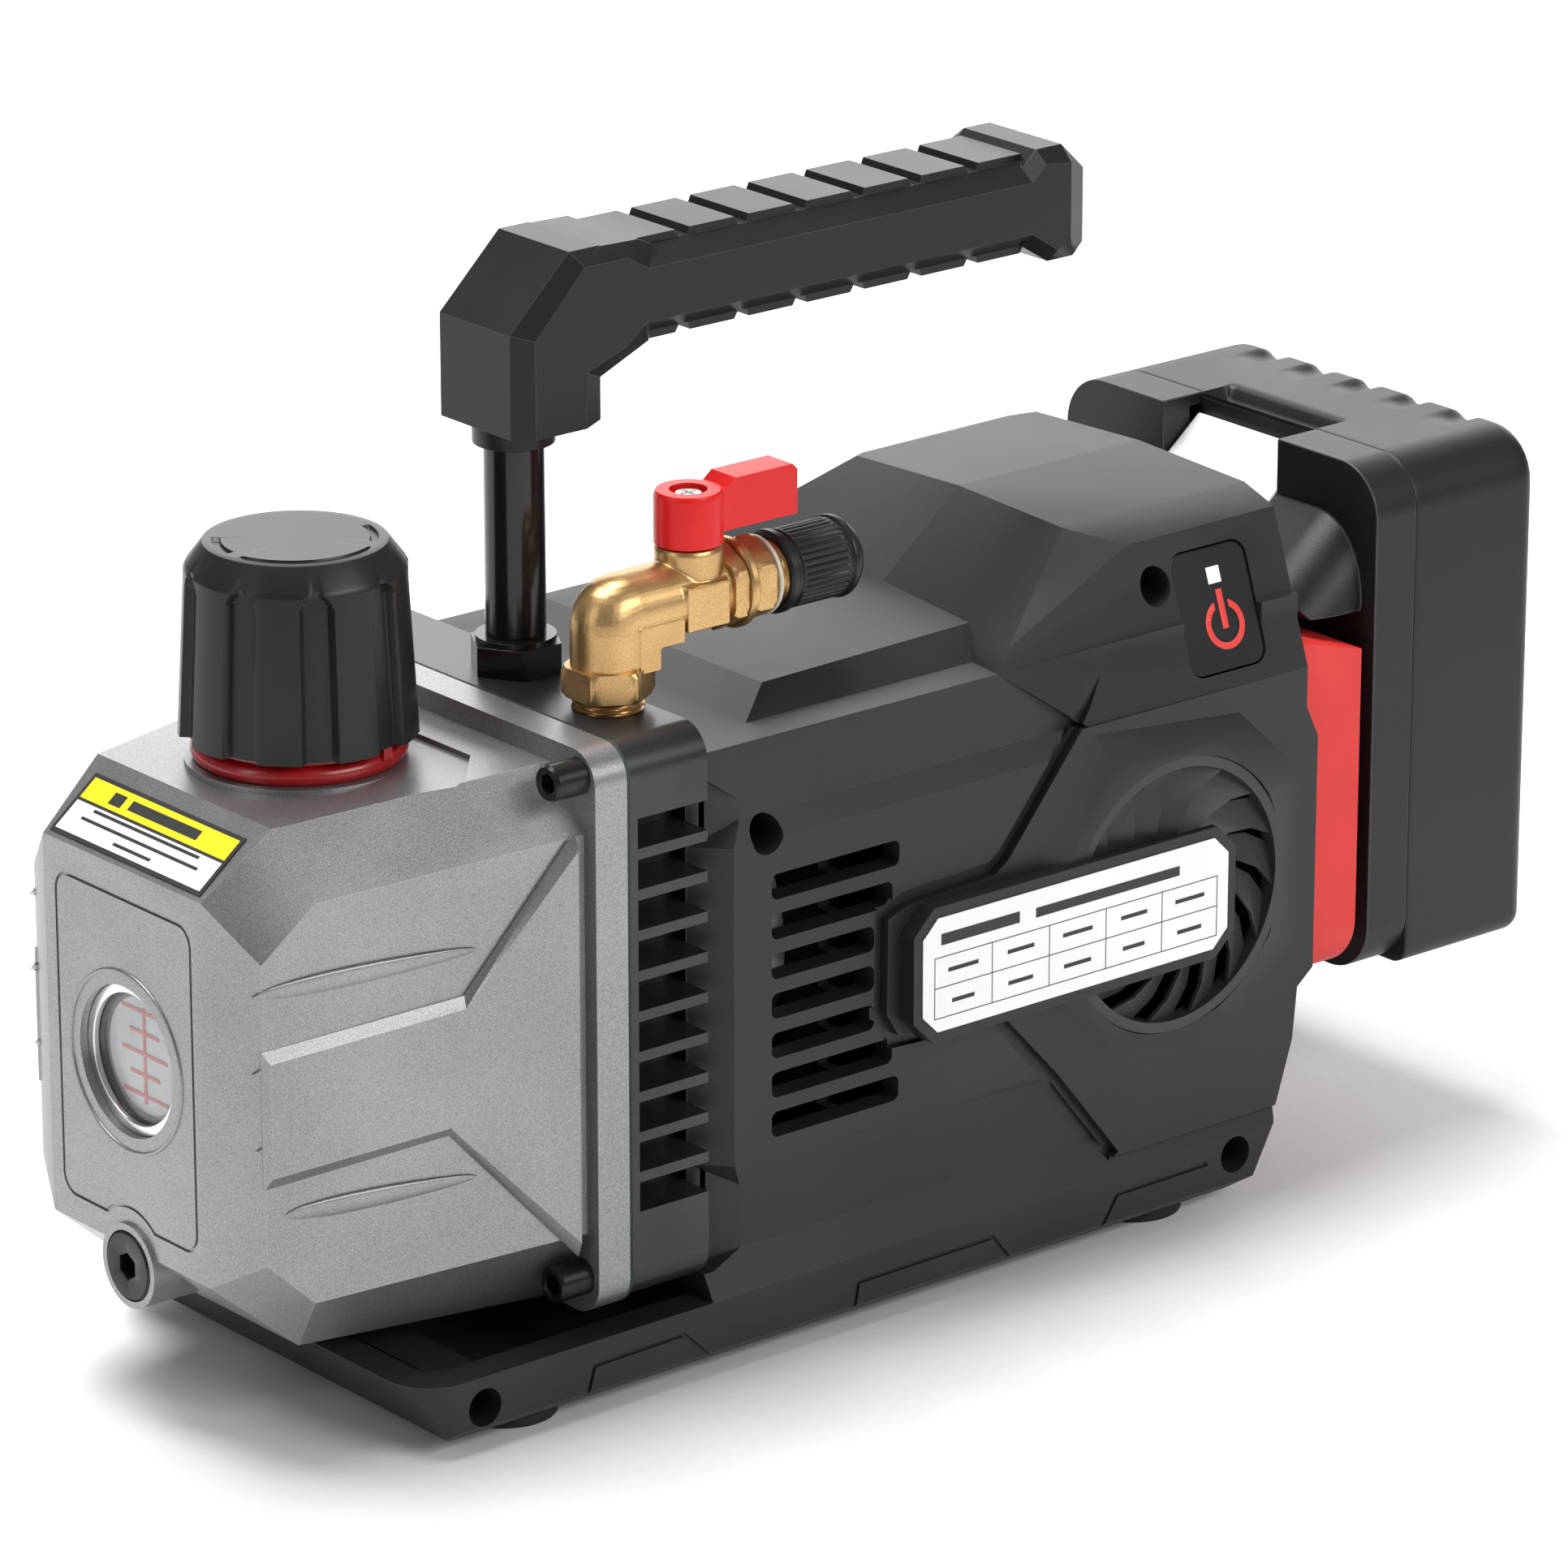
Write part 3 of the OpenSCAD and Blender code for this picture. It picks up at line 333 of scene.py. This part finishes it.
def finish_piece(bm, name, material, body="pump", nodes=(), sharp=35):
    """Turns a bmesh in metres into a piece that rides on a body and stands for the given CAD nodes."""
    bmesh.ops.recalc_face_normals(bm, faces=bm.faces)
    mesh = bpy.data.meshes.new(name)
    bm.to_mesh(mesh)
    bm.free()
    mesh.materials.append(MATERIALS[material])
    mesh.shade_smooth()
    mesh.set_sharp_from_angle(angle=math.radians(sharp))
    piece = bpy.data.objects.new(name, mesh)
    bpy.context.scene.collection.objects.link(piece)
    if nodes:
        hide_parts(*nodes)
    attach(piece, BODY_OF[nodes[0]] if nodes else body)
    return piece


def join_rings(bm, rings, loop=False):
    """Skins rings of corners with quads. loop joins the last ring to the first, and otherwise both
    ends are closed."""
    rows = [[bm.verts.new(corner) for corner in ring] for ring in rings]
    count = len(rows[0])
    pairs = list(zip(rows, rows[1:])) + ([(rows[-1], rows[0])] if loop else [])
    for low, high in pairs:
        for i in range(count):
            k = (i + 1) % count
            bm.faces.new((low[i], low[k], high[k], high[i]))
    if not loop:
        bm.faces.new(rows[0][::-1])
        bm.faces.new(rows[-1])


def turned(bm, profile, origin, axis="z", steps=96, loop=False):
    """A turned solid. profile holds (radius, place along the axis) in mm from one closed end to the
    other, or all round the section when loop is set. Either value may be a function of the angle."""
    u, v, w = {"z": ((1, 0, 0), (0, 1, 0), (0, 0, 1)), "x": ((0, 1, 0), (0, 0, 1), (1, 0, 0))}[axis]
    u, v, w = Vector(u), Vector(v), Vector(w)
    origin = Vector(origin)
    rings = []
    for radius, height in profile:
        ring = []
        for i in range(steps):
            a = math.tau * i / steps
            r = radius(a) if callable(radius) else radius
            h = height(a) if callable(height) else height
            ring.append(at(*(origin + (u * math.cos(a) + v * math.sin(a)) * r + w * h)))
        rings.append(ring)
    join_rings(bm, rings, loop)


def smooth(value):
    value = min(1.0, max(0.0, value))
    return value * value * (3 - 2 * value)


def hexagon(flat, most=math.inf):
    """Radius of a hexagon whose flats lie at that distance, cut back to a round of radius most."""
    def radius(a):
        return min(most, flat / math.cos((a + math.pi / 6) % (math.pi / 3) - math.pi / 6))
    return radius


def thread(radius, low, high, pitch, depth=0.6):
    """Profile of a screw thread between two heights, for turned()."""
    rows = []
    count = round((high - low) / pitch * 8)
    for i in range(count + 1):
        h = low + (high - low) * i / count

        def wave(a, h=h):
            return radius - depth * (0.5 - 0.5 * math.cos(math.tau * (h / pitch - a / math.tau)))
        rows.append((wave, h))
    return rows


def brick(bm, low, high):
    """A block between two corners in mm."""
    x, y, z = zip(low, high)
    rings = [[at(x[0], y[0], h), at(x[1], y[0], h), at(x[1], y[1], h), at(x[0], y[1], h)] for h in z]
    join_rings(bm, rings)


CASTING_GRID = 0.3       # mm


def ball(bm, centre, radius):
    """A sphere, for a form that is melted."""
    spot = Matrix.Translation(at(*centre))
    bmesh.ops.create_uvsphere(bm, u_segments=32, v_segments=16, radius=radius * MM, matrix=spot)


def melt(piece, passes):
    """Fuses the overlapping forms of a casting into one skin with soft inner corners."""
    fuse = piece.modifiers.new("fuse", "REMESH")
    fuse.mode = "VOXEL"
    fuse.voxel_size = CASTING_GRID * MM
    fuse.use_smooth_shade = True
    soften = piece.modifiers.new("soften", "SMOOTH")
    soften.factor = 0.5
    soften.iterations = passes


# ---- oil tank ----

CAP_X = in_mm((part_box("exhaust_cap")[0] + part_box("exhaust_cap")[1]) / 2).x
CAP_LOW, CAP_HIGH = 152, in_mm(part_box("exhaust_cap")[1]).z
SEAT_Z = 146             # seat of the red ring
SIGHT_Z = 84
DRAIN_Z = 35
SCREW_SPOTS = [(y, z) for y in (-54.5, 54.5) for z in (27, 147)]


def make_exhaust_cap():
    """Knob with nine broad flutes, a bevelled shoulder and a raised crescent on its top."""
    flutes, first_flute, flute_depth = 9, 0.4, 2.2
    radius_low, taper, flute_top = 27.2, 2.1, 190.2

    def side(z):
        def radius(a):
            full = radius_low - taper * (z - CAP_LOW) / 38
            off = abs((a * flutes / math.tau + first_flute) % 1 - 0.5)
            end = flute_top - 3.0 * min(1, off / 0.2) ** 3
            return full - flute_depth * smooth((0.225 - off) / 0.05) * smooth((end - z) / 0.8 + 0.5)
        return radius

    def lip(up, down):
        """Height of the top's edge: raised in front, sunk along two arcs."""
        def arc(turn, first, last, run):
            return smooth((turn - first) / run) * smooth((last - turn) / run)

        def height(a):
            turn = math.degrees(a) % 360
            sunk = arc(turn, 312, 352, 4) + arc(turn, 140, 180, 4)
            return CAP_HIGH - 0.5 + up * arc(turn, 190, 300, 6) - down * sunk
        return height

    heights = [CAP_LOW + 0.7] + [155 + 3 * i for i in range(11)] + [185.5 + 0.4 * i for i in range(13)]
    profile = [(21, 190), (23, 158), (23.4, CAP_LOW + 0.4), (side(CAP_LOW), CAP_LOW)]
    profile += [(side(z), z) for z in heights]
    profile += [(24.5, 191.4), (21.4, 195.5), (20.8, 196.3), (20.0, 196.5), (18.6, lip(0, 0)),
                (18.4, lip(0.5, 0.7)), (16.9, lip(0.5, 0.7)), (16.6, lip(0, 0)), (8, CAP_HIGH - 0.5)]
    bm = bmesh.new()
    turned(bm, profile, (CAP_X, 0, 0), steps=320)
    spigot = [(13.6, 134), (15.6, 134)] + thread(16.9, 135, 149, 3, 1.2)
    spigot += [(16.9, 150), (22, 153), (13.6, 153)]
    turned(bm, spigot, (CAP_X, 0, 0), steps=64, loop=True)
    finish_piece(bm, "exhaust_knob_body", "knob_plastic", nodes=["exhaust_cap"])


def make_cap_ring():
    """Red ring under the knob, with one stop."""
    bm = bmesh.new()
    section = [(17.4, SEAT_Z), (23.4, SEAT_Z), (23.9, 146.5), (24.5, 147.6), (24.5, 148.6),
               (24.0, 149.7), (23.0, 150.3), (22.4, 150.5), (22.4, CAP_LOW), (17.4, CAP_LOW)]
    turned(bm, section, (CAP_X, 0, 0), steps=128, loop=True)
    brick(bm, (CAP_X + 5.6, -24.0, 149.2), (CAP_X + 8.0, -21.5, CAP_LOW))
    finish_piece(bm, "red_cap_ring", "ring_red", nodes=["cap_ring"], sharp=50)


def make_drain_plug():
    """Threaded plug with a hexagon socket."""
    bm = bmesh.new()
    socket = hexagon(2.9)
    profile = [(5.95, -97)] + [(r, -h) for r, h in thread(5.95, 98, 109.4, 1.25, 0.6)]
    profile += [(5.4, -110), (7.7, -110), (8.2, -110.5), (8.2, -111.8), (7.7, -112.4), (3.6, -112.4),
                (socket, -112.2), (socket, -108.8)]
    turned(bm, profile, (0, 0, DRAIN_Z), "x", steps=72)
    finish_piece(bm, "drain_screw_body", "fastener_black", nodes=["drain_plug"])


def make_tank_screws():
    """Four long socket heads on the corners of the tank's flange."""
    bm = bmesh.new()
    socket = hexagon(2.2)
    profile = [(2.5, -4), (2.5, -25), (4.3, -25), (4.3, -33.3), (3.8, -34), (2.9, -34),
               (socket, -33.7), (socket, -30)]
    for y, z in SCREW_SPOTS:
        turned(bm, profile, (0, y, z), "x", steps=48)
    finish_piece(bm, "tank_socket_screws", "fastener_black", nodes=["tank_screws"])


def make_sight_rim():
    """Thin raised ring round the sight glass."""
    bm = bmesh.new()
    section = [(20.7, -110.9), (20.8, -111.3), (21.2, -111.5), (21.6, -111.3), (21.7, -110.9)]
    turned(bm, section, (0, 0, SIGHT_Z), "x", steps=96, loop=True)
    finish_piece(bm, "sight_rim", "cast_metal", sharp=80)


STREAKS = [((-106.5, 110.7), (-52.2, 111.8)), ((-106.9, 92.7), (-58.4, 93.7)),
           ((-106.3, 74.4), (-66.7, 74.1)), ((-100.8, 57.8), (-52.9, 57.7))]   # x and z of both ends


def make_streaks():
    """Long tapering ribs cast on both sides of the tank."""
    bm = bmesh.new()
    lengths, arcs = 28, 8
    for side in (-1, 1):
        for (x0, z0), (x1, z1) in STREAKS:
            rings = []
            for i in range(lengths + 1):
                t = i / lengths
                x, z = x0 + (x1 - x0) * t, z0 + (z1 - z0) * t
                fat = math.sqrt(max(0.0, 1 - (2 * t - 1) ** 2)) * (1 - 0.45 * t) + 0.03
                plane = side * (43.3 + 0.172 * (x + 104.7))
                ring = []
                for k in range(arcs + 1):
                    up, out = math.cos(math.pi * k / arcs), math.sin(math.pi * k / arcs)
                    ring.append(at(x, plane + side * (1.1 * fat * out - 0.15),
                                   z + 2.6 * fat * up + 1.5 * fat * out))
                rings.append(ring + [at(x, plane - side * 1.2, z)])
            join_rings(bm, rings)
    finish_piece(bm, "tank_side_ribs", "cast_metal", sharp=60)


# ---- battery ----

SEAM_X = 230
SCALLOP_PITCH = 17
BATTERY_X = in_mm(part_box("battery_rear")[1]).x
BATTERY_LOW, BATTERY_TOP = (in_mm(corner).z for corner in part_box("battery_rear"))
BATTERY_HALF = in_mm(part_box("battery_rear")[1]).y


def battery_ring(x, inset):
    """Outline of the battery pack at one place, with a finger pocket and scallops along its top."""
    half, low, top = BATTERY_HALF - inset, BATTERY_LOW + inset, BATTERY_TOP - inset
    wide, tight = max(13 - inset, 3), max(5 - inset, 1)
    run, top_steps, corner_steps = half - wide, 80, 8
    centres = [(run, top - wide, wide), (-run, top - wide, wide),
               (tight - half, low + tight, tight), (half - tight, low + tight, tight)]
    corners = []
    for quarter, (cy, cz, r) in enumerate(centres):
        turns = [math.pi / 2 * (quarter + i / corner_steps) for i in range(corner_steps + 1)]
        corners += [(cy + r * math.cos(a), cz + r * math.sin(a)) for a in turns]
        if quarter == 0:
            corners += [(run - 2 * run * i / top_steps, top) for i in range(1, top_steps)]
    ring = []
    for y, z in corners:
        if z > BATTERY_TOP - 20:
            pocket = 3.6 * smooth((20.4 - abs(y)) / 1.2) * smooth((x - SEAM_X) / 0.4)
            pocket *= smooth((239.6 - x) / 2.4)
            dip = max(0.0, math.cos(math.tau * y / SCALLOP_PITCH)) if abs(y) < 2.25 * SCALLOP_PITCH else 0
            scallop = 1.7 * dip ** 0.7 * smooth((x - 256) / 9)
            level = smooth((z - BATTERY_TOP + 14) / 14)
            z -= (pocket + scallop) * level
        ring.append(at(x, y, z))
    return ring


def make_battery_shell():
    """Rear shell with rounded corners, a thin seam in front and a rounded back edge."""
    stops = [(SEAM_X - 0.6, 1.3), (SEAM_X - 0.05, 1.3), (SEAM_X, 0.35), (SEAM_X + 0.3, 0.05),
             (SEAM_X + 0.7, 0)]
    stops += [(x, 0) for x in (232, 234, 236, 237.2, 238, 238.8, 239.8, 242, 248, 255, 258, 261, 264)]
    edge, edge_steps = 5, 10
    for i in range(edge_steps + 1):
        a = math.pi / 2 / edge_steps * i
        stops.append((BATTERY_X - edge + edge * math.sin(a), edge - edge * math.cos(a)))
    bm = bmesh.new()
    join_rings(bm, [battery_ring(x, inset) for x, inset in stops])
    finish_piece(bm, "battery_rear_shell", "battery_black", nodes=["battery_rear"], sharp=50)


# ---- inlet valve ----

INLET_X, INLET_Y = -0.7, -34.6
PIPE_Z = 175
STEM_X = 22.7


def make_elbow():
    """Cast elbow, with the hexagon and the thread it screws in by."""
    bm = bmesh.new()
    bend, r, turns = 3.0, 8.6, 7
    turned(bm, [(r - 0.6, 161.6), (r, 162.2), (r, PIPE_Z - bend)], (INLET_X, INLET_Y, 0), steps=48)
    turned(bm, [(r, INLET_X + bend), (r, 15)], (0, INLET_Y, PIPE_Z), "x", 48)
    for i in range(turns):
        a = math.pi / 2 * i / (turns - 1)
        ball(bm, (INLET_X + bend * (1 - math.cos(a)), INLET_Y, PIPE_Z - bend + bend * math.sin(a)), r)
    # flats on both sides, along the inner line of the bend
    brick(bm, (INLET_X + 2.4, INLET_Y - 8.9, 161.8), (INLET_X + 8.3, INLET_Y + 8.9, 172.6))
    brick(bm, (INLET_X + 2.4, INLET_Y - 8.9, 167.0), (14.6, INLET_Y + 8.9, 172.6))
    melt(finish_piece(bm, "elbow_casting", "brass", nodes=["inlet_elbow"]), 3)
    bm = bmesh.new()
    turned(bm, [(9.2, 156.0), (hexagon(9.3, 9.9), 156.0), (hexagon(9.3), 157.0), (hexagon(9.3), 162.0),
                (hexagon(9.3, 9.9), 163.0), (8.2, 163.2)], (INLET_X, INLET_Y, 0), steps=96)
    turned(bm, [(7.4, 141.5)] + thread(8.3, 142, 155.2, 1.34, 0.75) + [(7.5, 155.4), (7.5, 156.4)],
           (INLET_X, INLET_Y, 0), steps=72)
    finish_piece(bm, "elbow_hex_and_thread", "brass", sharp=25)


def make_valve_body():
    """Cast body of the ball valve, with a hexagon at its far end."""
    bm = bmesh.new()
    turned(bm, [(8.6, 13), (8.6, 33)], (0, INLET_Y, PIPE_Z), "x", steps=48)
    brick(bm, (15.2, INLET_Y - 9.3, 168.9), (27.3, INLET_Y + 9.3, 179.3))
    turned(bm, [(7.9, PIPE_Z), (7.9, 185.6), (7.5, 186.6)], (STEM_X, INLET_Y, 0), steps=48)
    turned(bm, [(8.2, 27), (8.2, 33.2)], (0, INLET_Y, PIPE_Z), "x", steps=48)
    melt(finish_piece(bm, "valve_casting", "brass", nodes=["valve_body"]), 2)
    bm = bmesh.new()
    turned(bm, [(8, 28.9), (hexagon(9.3, 9.9), 29.0), (hexagon(9.3), 29.7), (hexagon(9.3), 32.2),
                (hexagon(9.3, 9.9), 33.0), (8, 33.1)], (0, INLET_Y, PIPE_Z), "x", steps=96, loop=True)
    finish_piece(bm, "valve_hex", "brass", sharp=25)


def make_port_fitting():
    """Collar, hexagon and flared port."""
    bm = bmesh.new()
    origin = (0, INLET_Y, PIPE_Z)
    turned(bm, [(8, 33.1), (10.2, 33.2), (10.6, 33.7), (10.6, 35.0), (10.2, 35.5), (8.6, 35.6)],
           origin, "x", 96)
    turned(bm, [(8, 35.5), (hexagon(9.0, 9.7), 35.7), (hexagon(9.0), 36.6), (hexagon(9.0), 40.2),
                (hexagon(9.0, 9.7), 41.2), (8, 41.9)], origin, "x", 96)
    tube = [(4, 41), (7.3, 41.2)] + thread(7.94, 41.6, 57, 1.41, 0.7)
    tube += [(7.1, 58), (4.9, 61), (4.0, 61), (4.0, 50)]
    turned(bm, tube, origin, "x", 72)
    finish_piece(bm, "port_fitting_body", "brass", nodes=["port_fitting"], sharp=25)


def make_port_cap():
    """Knurled cap, open towards the valve."""
    bm = bmesh.new()
    ribs, steps = 36, 288

    def knurl(depth):
        return lambda a: 9.35 - depth * (0.5 - 0.5 * math.cos(a * ribs)) ** 2
    profile = [(7.99, 62.9), (7.99, 45.9), (8.4, 45.4), (9.3, 45.4), (9.8, 45.9), (9.8, 47.4),
               (9.3, 48.0), (8.9, 48.2), (8.9, 49.0), (9.3, 49.4), (knurl(0.1), 49.7),
               (knurl(0.5), 50.2), (knurl(0.5), 62.2), (knurl(0.1), 62.8), (9.35, 63.1), (9.2, 63.5),
               (9.2, 63.9), (9.7, 64.3), (9.8, 64.9), (9.6, 65.7), (8.6, 66.5), (8.4, 67.2),
               (7.9, 67.8), (7.2, 68)]
    turned(bm, profile, (0, INLET_Y, PIPE_Z), "x", steps)
    finish_piece(bm, "port_cap_body", "knob_plastic", nodes=["port_cap"])


# ---- printed labels ----

def printed(name, material, place, bars, thickness=0.06, sink=0.04, nodes=()):
    """Flat marks. place maps (across, up, out) in mm to a point. A bar is (left, low, right, high)."""
    bm = bmesh.new()
    for left, low, right, high in bars:
        corners = [(left, low), (right, low), (right, high), (left, high)]
        join_rings(bm, [[place(x, y, out) for x, y in corners] for out in (-sink, thickness)])
    return finish_piece(bm, name, material, nodes=nodes)


def frame_bars(left, low, right, high, line):
    return [(left, low, right, low + line), (left, high - line, right, high),
            (left, low, left + line, high), (right - line, low, right, high)]


def make_rating_print():
    """Generic bars and an empty table: a heading, five columns and two rows."""
    low, high = (in_mm(c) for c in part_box("rating_label"))
    face = low.y

    def place(x, z, out):
        return at(low.x + x, face - out, low.z + z)
    wide, tall = high.x - low.x, high.z - low.z
    line = 0.22
    left, right, bottom, top = 3.4, wide - 3.4, 3.2, tall - 9.6
    middle = (bottom + top) / 2
    columns = [left + (right - left) * share for share in (0.2, 0.4, 0.6, 0.8)]
    bars = frame_bars(left, bottom, right, top, line)
    bars += [(left, middle - line / 2, right, middle + line / 2)]
    bars += [(x - line / 2, bottom, x + line / 2, top) for x in columns]
    bars += [(left + 2, tall - 6.8, left + 26, tall - 4.0),
             (left + 31, tall - 6.8, left + 76, tall - 4.4)]
    edges = [left] + columns + [right]
    for i, (a, b) in enumerate(zip(edges, edges[1:])):
        centre = (a + b) / 2
        for row, width in ((middle + 3.4, 4.6 - 0.5 * (i % 2)), (bottom + 3.2, 3.4 + 0.4 * (i % 3))):
            bars.append((centre - width, row, centre + width, row + 1.0))
    printed("rating_print", "print_black", place, bars)


def make_caution_print():
    """Plain plate in black, yellow and white, with generic bars."""
    rise = math.atan2(14, 17.5)
    start = Vector((-111, 0, 130))
    along = Vector((math.cos(rise), 0, math.sin(rise)))
    out_of = Vector((-math.sin(rise), 0, math.cos(rise)))

    def place(y, u, out):
        spot = start + along * u + out_of * (0.3 + out)
        return at(spot.x, -y, spot.z)
    near, far, half = 1.4, 18.0, in_mm(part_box("caution_label")[1]).y
    edge = half - 1.1
    printed("caution_backing", "print_black", place, [(-half, near, half, far)], 0.06, 0.3,
            ["caution_label"])
    printed("caution_white", "label_white", place, [(-edge, near + 1, edge, far - 7.6)], 0.1, -0.05)
    printed("caution_yellow", "label_yellow", place, [(-edge, far - 6.8, edge, far - 1.1)], 0.1, -0.05)
    bars = [(-11, far - 5.2, 15, far - 2.6), (-18, far - 5.6, -13.5, far - 2.4)]
    bars += [(-w, near + 2.4 + 2.6 * i, w, near + 3.2 + 2.6 * i) for i, w in enumerate((7, 22, 20))]
    printed("caution_bars", "print_black", place, bars, 0.14, -0.1)


# ---- the whole object ----

def make_all():
    make_exhaust_cap()
    make_cap_ring()
    make_drain_plug()
    make_tank_screws()
    make_sight_rim()
    make_streaks()
    make_elbow()
    make_valve_body()
    make_port_fitting()
    make_port_cap()
    make_rating_print()
    make_caution_print()
    make_battery_shell()


add_camera()
add_studio()
make_all()
dress_all()
